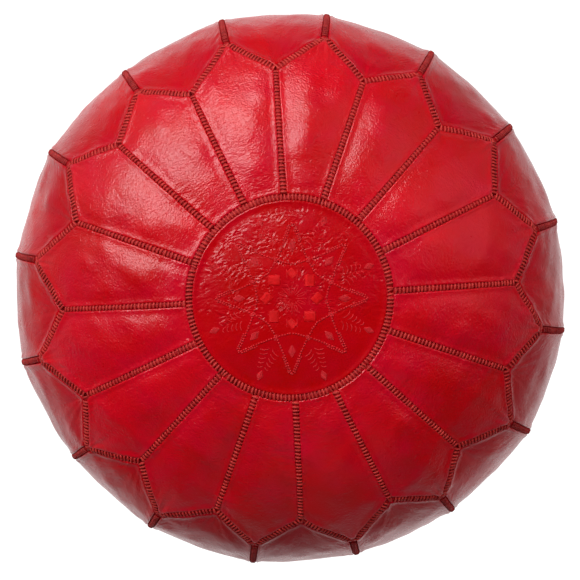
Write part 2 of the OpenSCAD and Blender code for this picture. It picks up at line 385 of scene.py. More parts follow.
class Patch:
    """One panel's share of the stuffed sheet, read at any place across and along it."""

    def __init__(self, grid):
        self.rows, self.columns = grid.shape[0] - 1, grid.shape[1] - 1
        grid = np.concatenate([2 * grid[:1] - grid[1:2], grid, 2 * grid[-1:] - grid[-2:-1]], 0)
        self.grid = np.concatenate(
            [2 * grid[:, :1] - grid[:, 1:2], grid, 2 * grid[:, -1:] - grid[:, -2:-1]], 1
        )

    @staticmethod
    def weights(f):
        """Catmull-Rom weights of the four nearest points."""
        return (
            0.5 * (-f + 2 * f**2 - f**3),
            0.5 * (2 - 5 * f**2 + 3 * f**3),
            0.5 * (f + 4 * f**2 - 3 * f**3),
            0.5 * (-(f**2) + f**3),
        )

    def at(self, u, v):
        """The sheet's points at shares of the panel's width and length."""
        x, y = np.clip(u, 0, 1) * self.columns, np.clip(v, 0, 1) * self.rows
        i = np.minimum(np.floor(y).astype(int), self.rows - 1)
        j = np.minimum(np.floor(x).astype(int), self.columns - 1)
        down, across = self.weights(y - i), self.weights(x - j)
        total = 0
        for a in range(4):
            for b in range(4):
                total = total + (down[a] * across[b])[..., None] * self.grid[i + a, j + b]
        return total

    def length(self, u, samples=60):
        """How long the panel is along v, at each u."""
        v = np.linspace(0, 1, samples)[:, None]
        line = self.at(np.asarray(u)[None] + 0 * v, v + 0 * np.asarray(u)[None])
        return np.linalg.norm(np.diff(line, axis=0), axis=-1).sum(0)

    def width(self, v, samples=60):
        """How long the panel is along u, at each v."""
        u = np.linspace(0, 1, samples)[None]
        line = self.at(u + 0 * np.asarray(v)[:, None], np.asarray(v)[:, None] + 0 * u)
        return np.linalg.norm(np.diff(line, axis=1), axis=-1).sum(1)

    def lean(self, u, v):
        """The sine of the angle between the grid's two ways at a place."""
        step, clear = 0.01, 0.05
        place = np.asarray(u) * self.columns / COLUMNS
        corner = np.round(place)
        beside = np.where(place < corner, corner - clear, corner + clear)
        beside = np.where(corner >= self.columns / COLUMNS, corner - clear, beside)
        u = np.where(np.abs(place - corner) < clear, beside, place) * COLUMNS / self.columns
        across = self.at(u + step, v) - self.at(u - step, v)
        along = self.at(u, v + step) - self.at(u, v - step)
        return np.clip(np.linalg.norm(np.cross(unit(across), unit(along)), axis=-1), 0.5, 1)


# ---- Meshes ----


def build(name, points, faces, material, layer=None):
    """Makes a smooth piece of the cover from points and arrays of faces."""
    mesh = bpy.data.meshes.new(name)
    mesh.vertices.add(len(points))
    mesh.vertices.foreach_set("co", np.asarray(points, dtype=np.float32).ravel())
    sizes = np.concatenate([np.full(len(f), f.shape[1]) for f in faces])
    corners = np.concatenate([np.asarray(f).ravel() for f in faces]).astype(np.int32)
    mesh.loops.add(len(corners))
    mesh.loops.foreach_set("vertex_index", corners)
    mesh.polygons.add(len(sizes))
    firsts = np.concatenate([[0], np.cumsum(sizes)[:-1]]).astype(np.int32)
    mesh.polygons.foreach_set("loop_start", firsts)
    mesh.polygons.foreach_set("use_smooth", np.ones(len(sizes), dtype=bool))
    if layer is not None:
        data = mesh.attributes.new("sheet", "FLOAT_VECTOR", "POINT").data
        data.foreach_set("vector", np.asarray(layer, dtype=np.float32).ravel())
    mesh.update(calc_edges=True)
    mesh.materials.append(material)
    piece = placed(name, mesh)
    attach(piece, "cover")
    return piece


def stand_in(piece, node):
    """Hides the CAD part that a piece stands in for."""
    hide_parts(node)


def ring_faces(rows, columns):
    """The faces of rings of points and of two poles, whose points come after the rings' points."""
    index = ring_index(rows, columns)
    pole = np.full(columns, rows * columns)
    first = np.stack([index[0, :-1], index[0, 1:], pole], -1)
    last = np.stack([index[-1, 1:], index[-1, :-1], pole + 1], -1)
    return grid_faces(index), np.concatenate([first, last])


class Pile:
    """Gathers points and faces of many small forms into one mesh."""

    def __init__(self):
        self.points, self.faces, self.count = [], {}, 0

    def add(self, points, faces):
        points = np.asarray(points).reshape(-1, 3)
        for f in faces:
            self.faces.setdefault(f.shape[1], []).append(f + self.count)
        self.points.append(points)
        self.count += len(points)

    def build(self, name, material):
        faces = [np.concatenate(f) for f in self.faces.values()]
        return build(name, np.concatenate(self.points), faces, material)

    def tubes(self, paths, normals, across, upward, sides=7, caps=0.7):
        """Adds a closed tube of oval section along each of many paths of one length."""
        paths = np.asarray(paths, dtype=float)
        count, steps = paths.shape[:2]
        across = np.broadcast_to(across, (count, steps))[..., None, None]
        upward = np.broadcast_to(upward, (count, steps))[..., None, None]
        along = unit(np.gradient(paths, axis=1))
        side = unit(np.cross(along, normals))
        up = np.cross(side, along)
        turn = np.arange(sides) * TAU / sides
        rings = (
            paths[:, :, None]
            + across * np.cos(turn)[:, None] * side[:, :, None]
            + upward * np.sin(turn)[:, None] * up[:, :, None]
        )
        first = paths[:, 0] - along[:, 0] * caps * upward[:, 0, 0]
        last = paths[:, -1] + along[:, -1] * caps * upward[:, -1, 0]
        points = np.concatenate([rings.reshape(count, -1, 3), first[:, None], last[:, None]], 1)
        shift = (np.arange(count) * points.shape[1])[:, None, None]
        faces = ring_faces(steps, sides)
        self.add(points, [(f[None] + shift).reshape(-1, f.shape[1]) for f in faces])

    def closed(self, outer, inner):
        """Adds a closed form between two open grids of one size, joined round their edges."""
        rows, columns = outer.shape[:2]
        top = np.arange(rows * columns).reshape(rows, columns)
        low = top + rows * columns
        rim = np.stack([border(top), border(low)])
        self.add(
            np.concatenate([outer.reshape(-1, 3), inner.reshape(-1, 3)]),
            [grid_faces(top), grid_faces(low, flip=True), grid_faces(rim)],
        )


def border(index):
    """The vertex numbers round a grid's edge, closed, counterclockwise from its outer side."""
    loop = np.concatenate([index[:-1, 0], index[-1, :-1], index[:0:-1, -1], index[0, :0:-1]])
    return np.concatenate([loop, loop[:1]])


# The rolled edge of a sheet of leather: how far out and down each of its loops lies.
ROLL_OUT = np.array([0.25, 0.42, 0.5, 0.42, 0.2, 0]) * MM
ROLL_DOWN = np.array([0.12, 0.4, 0.8, 1.25, 1.6, 1.8]) * MM


def leather(name, points, normals, material, layer, node):
    """A closed sheet of leather from the grid of its outer side, with its edges rolled over."""
    rows, columns = points.shape[:2]
    top = np.arange(rows * columns).reshape(rows, columns)
    low = top + rows * columns
    loop = border(top)[:-1]
    edge, edge_normal = points.reshape(-1, 3)[loop], normals.reshape(-1, 3)[loop]
    along = unit(np.roll(edge, -1, 0) - np.roll(edge, 1, 0))
    out = unit(np.cross(along, edge_normal))
    loops = [edge + out * a - edge_normal * b for a, b in zip(ROLL_OUT, ROLL_DOWN)]
    numbers = [border(top)]
    for k in range(len(loops)):
        ring = 2 * rows * columns + k * len(loop) + np.arange(len(loop))
        numbers.append(np.concatenate([ring, ring[:1]]))
    numbers.append(border(low))
    inner = points - normals * LEATHER
    every = np.concatenate([points.reshape(-1, 3), inner.reshape(-1, 3), *loops])
    flat = layer.reshape(-1, 3)
    layers = np.concatenate([flat, flat] + [flat[loop]] * len(loops))
    faces = [grid_faces(top), grid_faces(low, flip=True), grid_faces(np.stack(numbers))]
    stand_in(build(name, every, faces, material, layer=layers), node)


# ---- Relief of the leather: folded edges, puckers at the stitches, pinches at the corners ----

# Where grid lines run beside an edge, and how high the leather lies at distances from its seam.
EDGE_STEPS = np.array([0, 0.35, 0.8, 1.4, 2.1, 3, 4.2, 5.8, 8, 10.5]) * MM
EDGE_AT = np.array([2.4, 2.75, 3.3, 4.3, 6.0, 8.5, 16]) * MM
EDGE_RISE = np.array([-0.6, 0.3, 1.0, 1.2, 0.6, -0.1, 0]) * MM


def graded(length, spacing):
    """Places along a side, fine at both ends: shares of its length, moved by real lengths."""
    inside = max(int(round((length - 2 * (EDGE_STEPS[-1] + HALF_GAP)) / spacing)), 6)
    t = np.linspace(0, 1, inside + 1)[1:-1]
    steps = EDGE_STEPS + HALF_GAP
    c = np.concatenate([0 * steps, t, 0 * steps + 1])
    from_start = np.concatenate([steps, steps[-1] * (1 - t), 0 * steps])
    from_end = np.concatenate([0 * steps, steps[-1] * t, steps[::-1]])
    return c, from_start, from_end


def puckers(along, away, seed, size=0.22 * MM, reach=7 * MM):
    """Small folds that run away from a row of stitches."""
    field = waves(seed, 4 * MM, 9 * MM, 2, 20, (1, 0.22))
    strength = waves(seed + 1, 30 * MM, 90 * MM, 2, 12)
    points = np.stack([along, away], -1)
    fold = field(points) * (0.65 + 0.35 * np.clip(strength(points), -1, 1))
    start = smooth((away - HALF_GAP - 0.5 * MM) / (2.5 * MM))
    return size * fold * start * np.exp(-(away - HALF_GAP) / reach)


def pinches(x, y, corner, seed, size, reach=22 * MM):
    """Creases that fan out from a corner where seams meet."""
    dx, dy = x - corner[0], y - corner[1]
    rho = np.hypot(dx, dy)
    turn = np.arctan2(dy, dx)
    rng = np.random.default_rng(seed)
    fan = 0
    for k in rng.uniform(6, 17, 5):
        phase, sway = rng.uniform(0, TAU), rng.uniform(0, TAU)
        fan = fan + np.cos(k * turn + phase + 0.6 * np.sin(rho / (9 * MM) + sway))
    return size * fan / 2.2 * smooth((rho - 3 * MM) / (6 * MM)) * np.exp(-rho / reach)


soft_folds = waves(SEED + 20, 20 * MM, 65 * MM, 3, 40)
fine_folds = waves(SEED + 21, 4 * MM, 9 * MM, 3, 48)
patches = waves(SEED + 22, 50 * MM, 140 * MM, 3, 20)


def hide(points):
    """The soft unevenness of leather over stuffing, with finer folds in patches."""
    where = smooth(0.5 + 0.45 * patches(points))
    soft = soft_folds(points)
    return (0.34 * soft + 0.14 * np.abs(soft)) * MM + 0.04 * MM * where * fine_folds(points)


PANEL_SPACING = {"petals": 1.5 * MM, "sides": 2.2 * MM, "base": 2.6 * MM}
# How deep the creases are at a panel's corners: the two at its end, both ends of its middle line
# (its point and its start), and the two at its start.
PINCHES = {
    "petals": (0.3, 0.3, 0.55, 0, 0.12, 0.12),
    "sides": (0.25, 0.25, 0.35, 0.45, 0.4, 0.4),
    "base": (0.15,) * 6,
}


class Panel(Patch):
    """A leather panel: its share of the stuffed sheet, with all its relief."""

    def __init__(self, sheet, starts, region, column, seed):
        self.region, self.seed = region, seed
        columns = SEAM_PERIOD[region] * COLUMNS
        rows = slice(starts[region], starts[region] + ROWS[region] + 1)
        picked = (column + np.arange(columns + 1)) % (LINES * COLUMNS)
        super().__init__(sheet[rows][:, picked])
        self.places = np.linspace(0, 1, 81)
        self.widths = self.width(self.places)
        self.lengths = self.length(self.places)

    def inset(self, across, along):
        """Shares (u, v) of a grid whose edges run at real distances from the panel's seams."""
        c_u, c_v = np.meshgrid(across[0], along[0])
        start_u, start_v = np.meshgrid(across[1], along[1])
        end_u, end_v = np.meshgrid(across[2], along[2])
        u, v = c_u, c_v
        for _ in range(4):
            width = np.interp(v, self.places, self.widths)
            length = np.interp(u, self.places, self.lengths)
            near, far = self.lean(0.02 + 0 * v, v), self.lean(0.98 + 0 * v, v)
            head, foot = self.lean(u, 0.02 + 0 * u), self.lean(u, 0.98 + 0 * u)
            u = np.clip(c_u + (start_u / near - end_u / far) / width, 0, 1)
            v = np.clip(c_v + (start_v / head - end_v / foot) / length, 0, 1)
        return u, v

    def flat(self, u, v):
        """Panel coordinates in metres, across from the middle and along from the first row."""
        width = np.interp(v, self.places, self.widths)
        length = np.interp(u, self.places, self.lengths)
        return (u - 0.5) * width, v * length, width, length

    def relief(self, points, u, v):
        """How far the leather stands out of the stuffed sheet."""
        x, y, width, length = self.flat(u, v)
        lean = self.lean(u, v)
        sides = [u * width * lean, (1 - u) * width * lean, v * length * lean, (1 - v) * length * lean]
        nearest = np.minimum.reduce(sides)
        height = np.interp(nearest, EDGE_AT, EDGE_RISE)
        for k, (away, along) in enumerate(zip(sides, (y, y, x, x))):
            height = height + puckers(along, np.maximum(away, HALF_GAP), self.seed + 2 * k)
        middle = self.lengths[len(self.lengths) // 2]
        half = [self.widths[0] / 2, self.widths[-1] / 2]
        corners = [(-half[1], self.lengths[0]), (half[1], self.lengths[-1]), (0, middle), (0, 0)]
        corners += [(-half[0], 0), (half[0], 0)]
        for k, strength in enumerate(PINCHES[self.region]):
            if strength:
                height = height + pinches(x, y, corners[k], self.seed + 40 + k, strength * MM)
        return height + hide(points)

    def piece(self, name, material, node, slot):
        spacing = PANEL_SPACING[self.region]
        across = graded(self.widths.max(), spacing)
        along = graded(self.lengths.max(), spacing)
        u, v = self.inset(across, along)
        points = self.at(u, v)
        points = points + grid_normals(points) * self.relief(points, u, v)[..., None]
        points[..., 2] = np.maximum(points[..., 2], 0.2 * MM)
        self.points = points
        x, y, _, _ = self.flat(u, v)
        layer = np.stack([x, y, np.full(x.shape, (self.seed % 97) / 97)], -1)
        leather(name, points, grid_normals(points), material, layer, node)


# ---- The round medallion and the base disc ----

MEDALLION_EDGE = RING_R - HALF_GAP
CRINKLE_TURN = math.radians(17)
CRINKLE_DEEP = 0.42 * MM
# The embroidery's pattern: how far it is turned and off the middle, and how far out its squares are.
PATTERN_TURN = math.radians(-3.4)
PATTERN_X, PATTERN_Y = 1.6 * MM, -1.0 * MM
SQUARE_R = 23 * MM
crinkles = waves(SEED + 30, 2.3 * MM, 5.8 * MM, 2, 110, (0.55, 1))
crinkles_b = waves(SEED + 31, 4 * MM, 11 * MM, 2, 70, (0.5, 1))
crinkle_patch = waves(SEED + 32, 12 * MM, 45 * MM, 2, 30)
crinkle_bend = waves(SEED + 33, 18 * MM, 60 * MM, 2, 30)


def crinkled(x, y):
    """The medallion's crushed grain, strong towards +Y, smooth towards -Y and under the squares."""
    flat = np.stack([x, y], -1)
    x_bent = x + 2.6 * MM * crinkle_bend(flat[..., ::-1])
    y_bent = y + 2.8 * MM * crinkle_bend(flat)
    along = x_bent * math.cos(CRINKLE_TURN) + y_bent * math.sin(CRINKLE_TURN)
    across = -x_bent * math.sin(CRINKLE_TURN) + y_bent * math.cos(CRINKLE_TURN)
    bent = np.stack([along, across], -1)
    fold = 0.75 * (0.6 - np.abs(crinkles(bent))) + 0.25 * crinkles_b(bent)
    amount = smooth(0.66 + 0.5 * crinkle_patch(flat))
    near_side = smooth((y + 42 * MM - 0.12 * x) / (40 * MM))
    under_squares = 0
    for k in range(8):
        way = k * TAU / 8 + PATTERN_TURN
        square_x = PATTERN_X + SQUARE_R * math.cos(way)
        square_y = PATTERN_Y + SQUARE_R * math.sin(way)
        gap = np.hypot(x - square_x, y - square_y)
        under_squares = under_squares + smooth((9 * MM - gap) / (3 * MM))
    return fold * amount * near_side * (1 - np.clip(under_squares, 0, 1))


def medallion_at(x, y):
    """The medallion's surface over (x, y), in the CAD frame, with its relief."""
    r, angle = np.hypot(x, y), np.arctan2(y, x)
    points, normals = revolve(angle, top_s(np.maximum(r, 1e-6)), VALLEY)
    points = lumpy(points, normals)
    away = RING_R - r
    swell = 3.2 * MM * (1 - (r / RING_R) ** 2) ** 0.8
    height = swell + np.interp(away, EDGE_AT, EDGE_RISE) + 0.5 * hide(points)
    height = height + puckers(RING_R * angle, np.maximum(away, HALF_GAP), 901, 0.2 * MM, 5 * MM)
    height = height + CRINKLE_DEEP * crinkled(x, y) * smooth((away - HALF_GAP) / (6 * MM))
    return points + normals * height[..., None], normals


def leather_disc(name, radii, sides, material, node):
    """A closed disc of leather with a rolled edge, from its edge's radius inwards."""
    angle = np.arange(sides) * TAU / sides
    x, y = radii[:, None] * np.cos(angle), radii[:, None] * np.sin(angle)
    points, _ = medallion_at(x, y)
    ring = np.concatenate([points[:, -1:], points, points[:, :1]], 1)
    normals = unit(np.cross(np.gradient(ring, axis=1)[:, 1:-1], np.gradient(points, axis=0)))
    normals = np.where(normals[..., 2:] < 0, -normals, normals)
    out = np.stack([np.cos(angle), np.sin(angle), 0 * angle], -1)
    loops = [points[0] + out * a - normals[0] * b for a, b in zip(ROLL_OUT, ROLL_DOWN)]
    low = (points - normals * LEATHER)[::8]
    rows = np.concatenate([points[::-1], np.stack(loops), low])
    middle, _ = medallion_at(np.zeros(1), np.zeros(1))
    every = np.concatenate([rows.reshape(-1, 3), middle, middle - [[0, 0, LEATHER]]])
    layer = every.copy()
    layer[:, 2] = 0.37
    piece = build(name, every, ring_faces(len(rows), sides), material, layer=layer)
    stand_in(piece, node)


# Half the length and width of the slot that the base disc leaves for the zip.
SLOT_X, SLOT_Y = 92 * MM, 7 * MM


def fine_ends(low, high, spacing):
    """Places from low to high, fine at both ends."""
    count = max(int((high - low - 2 * EDGE_STEPS[-1]) / spacing), 2)
    inside = np.linspace(low + EDGE_STEPS[-1], high - EDGE_STEPS[-1], count + 1)[1:-1]
    return np.concatenate([low + EDGE_STEPS, inside, high - EDGE_STEPS[::-1]])


def disc_half_grid(side):
    """(x, y) of one half of the base disc. Its straight edge leaves the zip's slot open."""
    edge = BASE_RING_R - HALF_GAP
    far = math.sqrt(edge**2 - (SLOT_Y + 6 * MM) ** 2)
    at_slot_end = SLOT_X + np.array([-0.6, 0.2, 1.0, 1.8]) * MM
    x = np.sort(np.concatenate([fine_ends(-far, far, 2.2 * MM), at_slot_end, -at_slot_end]))
    x = x[np.concatenate([[True], np.diff(x) > 0.15 * MM])]
    open_slot = smooth((SLOT_X + 1.2 * MM - np.abs(x)) / (1.6 * MM))
    slot_edge = 0.2 * MM + (SLOT_Y - 0.35 * MM) * open_slot
    depth = np.sqrt(edge**2 - x**2) - slot_edge
    t = np.linspace(0, 1, 36)[1:-1]
    steps = EDGE_STEPS
    share = np.concatenate([0 * steps, t, 0 * steps + 1])[:, None]
    moved = np.concatenate([steps, steps[-1] * (1 - 2 * t), -steps[::-1]])[:, None]
    y = slot_edge + share * depth + moved * np.minimum(1, depth / (2.2 * steps[-1]))
    # The last columns lean out to follow the circle.
    bulge = np.maximum(np.sqrt(edge**2 - np.minimum(y, edge / 2) ** 2) - far, 0)
    out = np.sign(x) * smooth((np.abs(x) - far + 10 * MM) / (10 * MM)) * bulge
    return (x + out) * side, y * side


def base_disc_at(x, y):
    """The base disc's outer side, which faces down."""
    r = np.hypot(x, y)
    away = BASE_RING_R - r
    slot = np.where(np.abs(x) < SLOT_X, np.abs(y) - SLOT_Y, np.hypot(np.abs(x) - SLOT_X, y))
    height = np.interp(away, EDGE_AT, EDGE_RISE) - 0.35 * MM * np.exp(-np.abs(slot) / (1.5 * MM))
    round_it = BASE_RING_R * np.arctan2(y, x)
    height = height + puckers(round_it, np.maximum(away, HALF_GAP), 951, 0.15 * MM)
    flat = np.stack([x, y, 0 * x], -1)
    height = height + 0.6 * hide(flat) * smooth(away / (20 * MM)) * smooth(np.abs(slot) / (12 * MM))
    seam_z = skeleton(np.zeros(1), base_s(np.array([BASE_RING_R])))[0, 2]
    z = RECESS + (seam_z - RECESS) * smooth(1 - away / (14 * MM)) - height
    return np.stack([x, y, z], -1)


# ---- Seams: folded leather edges sewn over with bars of waxed thread ----

BAR_PITCH, FOLD_STEP = 3.5 * MM, 1.2 * MM
ANCHOR = 2  # the leather's grid line that the bars reach for
# A bar and the fold under it, across the seam: places as shares of half its width, and heights.
BAR_AT = np.array([-0.93, -0.84, -0.6, 0, 0.6, 0.84, 0.93])
BAR_RISE = np.array([-0.75, 0.0, 0.5, 0.62, 0.5, 0.0, -0.75]) * MM
BAR_WIDE = np.array([0.75, 0.92, 1.0, 1.02, 1.0, 0.92, 0.75]) * MM
BAR_THICK = 0.72 * MM
FOLD_AT = np.array([-0.86, -0.6, -0.3, 0, 0.3, 0.6, 0.86])
FOLD_TOP = np.array([-1.0, -0.5, -0.2, -0.14, -0.2, -0.5, -1.0]) * MM
JUNCTION_R, JUNCTION_DEEP = 4.4 * MM, 0.75 * MM
CLEAR, LONG_CLEAR = 2.2 * MM, 4.6 * MM  # from the end of a seam to its first bar


def read(at, s, values):
    """Rows of three values that belong to the places s, read at other places."""
    return np.stack([np.interp(at, s, values[:, k]) for k in range(3)], -1)


def outward_of(points):
    """Rough outward ways at points of the cover: away from places inside the pouf."""
    inside = np.array([0, 0, 0.5 * COVER_H]) + points * np.array([0.55, 0.55, 0])
    return unit(points - inside)


def resampled(line, step=0.3 * MM):
    """The same line with points at even steps, and their distances along it."""
    s = np.concatenate([[0], np.cumsum(np.linalg.norm(np.diff(line, axis=0), axis=-1))])
    even = np.linspace(0, s[-1], max(int(s[-1] / step), 2) + 1)
    return read(even, s, line), even


def nearest(line, points):
    """The line's nearest point to each of the points."""
    gap = np.linalg.norm(line[None] - points[:, None], axis=-1)
    return line[np.argmin(gap, axis=1)]


class Seam:
    """Bars and the fold under them. tight narrows both, and lap widens the fold again."""

    def __init__(self, seed, tight=1.0, lap=1.0):
        self.tight, self.lap = tight, lap
        self.bars, self.folds = Pile(), Pile()
        self.random = np.random.default_rng(seed)

    def run(self, centre, left, right, skips=(CLEAR, CLEAR), closed=False, rise=0.0):
        """Sews along a line, from one leather edge to the other, with skips left free at its ends."""
        line, s = resampled(centre)
        outward = outward_of(centre)
        ways = read(np.linspace(0, 1, len(line)), np.linspace(0, 1, len(outward)), outward)
        left, right = resampled(left)[0], resampled(right)[0]
        total = s[-1]
        count = int(round((total - sum(skips)) / BAR_PITCH)) + (0 if closed else 1)
        at = np.linspace(skips[0], total - skips[1], count, endpoint=not closed)
        at = np.clip(at + self.random.normal(0, 0.16 * MM, len(at)), 0, total)
        self.cross(self.places(line, s, ways, at), left, right, rise)
        at = np.arange(0, total + FOLD_STEP, FOLD_STEP).clip(0, total)
        self.fold(self.places(line, s, ways, at), left, right, rise)

    @staticmethod
    def places(line, s, ways, at):
        """Points along a line, with the ways out of it, along it and across it there."""
        out = unit(read(at, s, ways))
        along = unit(read(at + 1 * MM, s, line) - read(at - 1 * MM, s, line))
        return read(at, s, line), out, along, unit(np.cross(along, out))

    def frame_of(self, where, left, right, skew):
        """The middle between both edges, the way from there to one of them, and the way up."""
        points, out, along, side = where
        reach = HALF_GAP + EDGE_STEPS[ANCHOR]
        skew = np.broadcast_to(skew, (len(points),))[:, None] * along
        a = nearest(left, points - side * reach - skew)
        b = nearest(right, points + side * reach + skew)
        middle, half = (a + b) / 2, (b - a) / 2
        size = np.linalg.norm(half, axis=-1, keepdims=True)
        half = half * np.clip(reach / np.maximum(size, 1e-6), 0.6, 1) * self.tight
        up = unit(out - unit(half) * np.sum(out * unit(half), -1, keepdims=True))
        return middle, half, up

    def cross(self, where, left, right, rise):
        """Adds the bars of thread."""
        count = len(where[0])
        skew = 0.25 * MM + self.random.normal(0, 0.12 * MM, count)
        middle, half, up = self.frame_of(where, left, right, skew)
        lift = rise + self.random.normal(0, 0.07 * MM, count)
        heights = BAR_RISE[None] + lift[:, None] * (1 - np.abs(BAR_AT))[None]
        paths = middle[:, None] + half[:, None] * BAR_AT[:, None] + up[:, None] * heights[..., None]
        size = 1 + self.random.normal(0, 0.05, count)[:, None]
        paths[..., 2] = np.maximum(paths[..., 2], 0.85 * MM)
        self.bars.tubes(paths, up[:, None], size * BAR_WIDE, BAR_THICK * size + 0 * BAR_WIDE, 7)

    def fold(self, where, left, right, rise):
        """Adds the strip of folded leather under the bars."""
        middle, half, up = self.frame_of(where, left, right, 0)
        across = half[:, None] * (self.lap * FOLD_AT[:, None])
        outer = middle[:, None] + across + up[:, None] * (FOLD_TOP + rise)[:, None]
        inner = outer - up[:, None] * 0.9 * MM
        for grid in (outer, inner):
            grid[..., 2] = np.maximum(grid[..., 2], 0.1 * MM)
        self.folds.closed(outer.transpose(1, 0, 2), inner.transpose(1, 0, 2))

    def junction(self, place):
        """Adds a patch of folded leather under the place where seams meet."""
        up = outward_of(place)
        along = unit(np.cross(up, [0.3, 0.2, 0.9]))
        side = np.cross(along, up)
        step = np.linspace(-1, 1, 5)
        x, y = (g * JUNCTION_R for g in np.meshgrid(step, step, indexing="ij"))
        shrink = np.maximum(np.abs(x), np.abs(y)) / np.maximum(np.hypot(x, y), 1e-9)
        x, y = (x * shrink)[..., None], (y * shrink)[..., None]
        outer = place - up * JUNCTION_DEEP + x * side + y * along
        outer[..., 2] = np.maximum(outer[..., 2], 1.0 * MM)
        inner = outer - up * 0.8 * MM
        inner[..., 2] = np.maximum(inner[..., 2], 0.1 * MM)
        self.folds.closed(outer, inner)

    def pieces(self, name, node, thread):
        bars = self.bars.build(name + "_bars", thread)
        folds = self.folds.build(name + "_fold", seam_fold)
        for piece in (bars, folds):
            stand_in(piece, node)


# ---- Materials ----


def color(r, g, b):
    """A shown colour, from 0 to 255, as the linear one that shaders take."""
    c = np.array([r, g, b]) / 255
    return (*np.where(c <= 0.04045, c / 12.92, ((c + 0.055) / 1.055) ** 2.4), 1.0)


class Shader:
    """Builds a material's or a world's nodes with few words."""

    def __init__(self, owner):
        owner.use_nodes = True
        self.owner, self.tree = owner, owner.node_tree

    @classmethod
    def material(cls, name):
        return cls(bpy.data.materials.new(name))

    def put(self, socket, value):
        """Links a node's output to a socket, or sets the socket's own value."""
        if isinstance(value, bpy.types.NodeSocket):
            self.tree.links.new(value, socket)
        else:
            socket.default_value = value

    def set(self, node, **inputs):
        """Fills a node's inputs. Underscores in their names stand for spaces."""
        for key, value in inputs.items():
            self.put(node.inputs[key.replace("_", " ")], value)
        return node

    def add(self, kind, **inputs):
        return self.set(self.tree.nodes.new("ShaderNode" + kind), **inputs)

    def math(self, operation, *values, clamp=False):
        node = self.add("Math")
        node.operation, node.use_clamp = operation, clamp
        for socket, value in zip(node.inputs, values):
            self.put(socket, value)
        return node.outputs[0]

    def times(self, a, b):
        return self.math("MULTIPLY", a, b)

    def plus(self, a, b):
        return self.math("ADD", a, b)

    def stretch(self, vector, scale, turn):
        return self.add("Mapping", Vector=vector, Rotation=turn, Scale=scale).outputs[0]

    def noise(self, vector, scale, detail, roughness, distortion=0.0):
        return self.add(
            "TexNoise", Vector=vector, Scale=scale, Detail=detail, Roughness=roughness,
            Distortion=distortion,
        ).outputs["Fac"]

    def ramp(self, fac, *stops):
        """Greys from one place of fac to the next."""
        node = self.add("ValToRGB", Fac=fac)
        for element, (place, grey) in zip(node.color_ramp.elements, stops):
            element.position, element.color = place, (grey, grey, grey, 1)
        return node.outputs["Color"]

    def mix(self, fac, a, b):
        """The colour a where fac is 0 and b where it is 1."""
        node = self.add("Mix")
        node.data_type = "RGBA"
        for k, value in ((0, fac), (6, a), (7, b)):
            self.put(node.inputs[k], value)
        return node.outputs[2]

    def bump(self, height, distance, strength=1.0):
        return self.add("Bump", Height=height, Distance=distance, Strength=strength).outputs[0]

    def coordinates(self, kind="Object"):
        return self.add("TexCoord").outputs[kind]

    def finish(self, **inputs):
        self.set(self.tree.nodes["Principled BSDF"], **inputs)
        return self.owner


def leather_material(name, red, deep, cool, roughness, grain, coat, specular, crushed=False):
    """Dyed and polished leather: uneven colour, fine slanting creases and pores, and a wax coat."""
    m = Shader.material(name)
    world = m.coordinates()
    layer = m.add("Attribute")
    layer.attribute_name = "sheet"
    sheet = layer.outputs["Vector"]
    blotch = m.ramp(m.noise(world, 9.0, 3.0, 0.6), (0.36, 0.0), (0.66, 1.0))
    cloud = m.ramp(m.noise(world, 26.0, 4.0, 0.62), (0.42, 0.0), (0.7, 1.0))
    tone = m.mix(blotch, color(*deep), color(*red))
    tone = m.mix(m.times(cloud, 0.5), tone, color(*cool))
    creases = m.noise(m.stretch(sheet, (1, 2.0, 0.5), (0, 0, 0.9)), 190.0, 1.5, 0.55, 0.6)
    fine = m.noise(m.stretch(sheet, (1, 1.6, 0.5), (0, 0, -0.5)), 430.0, 1.0, 0.5, 0.3)
    strong = m.ramp(m.noise(world, 22.0, 2.0, 0.5), (0.35, 0.35), (0.65, 1.0))
    if crushed:
        y = m.add("SeparateXYZ", Vector=world).outputs["Y"]
        far = m.math("ADD", m.times(y, 22.0), 0.85, clamp=True)
        strong = m.plus(m.times(m.times(strong, far), 0.9), 0.2)
    pores = m.add("TexVoronoi", Vector=sheet, Scale=900.0).outputs["Distance"]
    height = m.plus(m.times(creases, strong), m.times(fine, 0.65))
    height = m.plus(height, m.times(pores, 0.05))
    rough = m.plus(roughness - 0.07, m.times(m.noise(sheet, 60.0, 4.0, 0.65), 0.14))
    return m.finish(
        Base_Color=tone, Roughness=rough, Normal=m.bump(height, 0.00055 * grain),
        Coat_Weight=coat, Coat_Roughness=0.25, Coat_Normal=m.bump(height, 0.0004 * grain),
        Specular_IOR_Level=specular,
    )


def thread_material(name, tone, dark, roughness, twist=1500.0, depth=0.00012, sheen=0.0):
    """Twisted thread or cloth: fine slanting ridges, and a slight difference from place to place."""
    m = Shader.material(name)
    world = m.coordinates()
    slanting = m.stretch(world, (1, 1, 1), (0.5, 0.4, 0.6))
    ridges = m.add("TexWave", Vector=slanting, Scale=twist / 6, Distortion=2.0).outputs["Fac"]
    patch = m.ramp(m.noise(world, 130.0, 2.0, 0.6), (0.35, 0.0), (0.65, 1.0))
    return m.finish(
        Base_Color=m.mix(patch, color(*dark), color(*tone)), Roughness=roughness,
        Normal=m.bump(ridges, depth, 0.7), Sheen_Weight=sheen, Specular_IOR_Level=0.35,
    )


def worn_material(name, dark, light, scale, detail, spread, rough, depth, metallic):
    """Metal or plastic with mottled wear. rough is its least roughness and how much wear adds."""
    m = Shader.material(name)
    wear = m.noise(m.coordinates(), scale, *detail)
    tone = m.mix(m.ramp(wear, (spread[0], 0.0), (spread[1], 1.0)), color(*dark), color(*light))
    return m.finish(
        Base_Color=tone, Metallic=metallic, Roughness=m.plus(rough[0], m.times(wear, rough[1])),
        Normal=m.bump(wear, depth[0], depth[1]),
    )


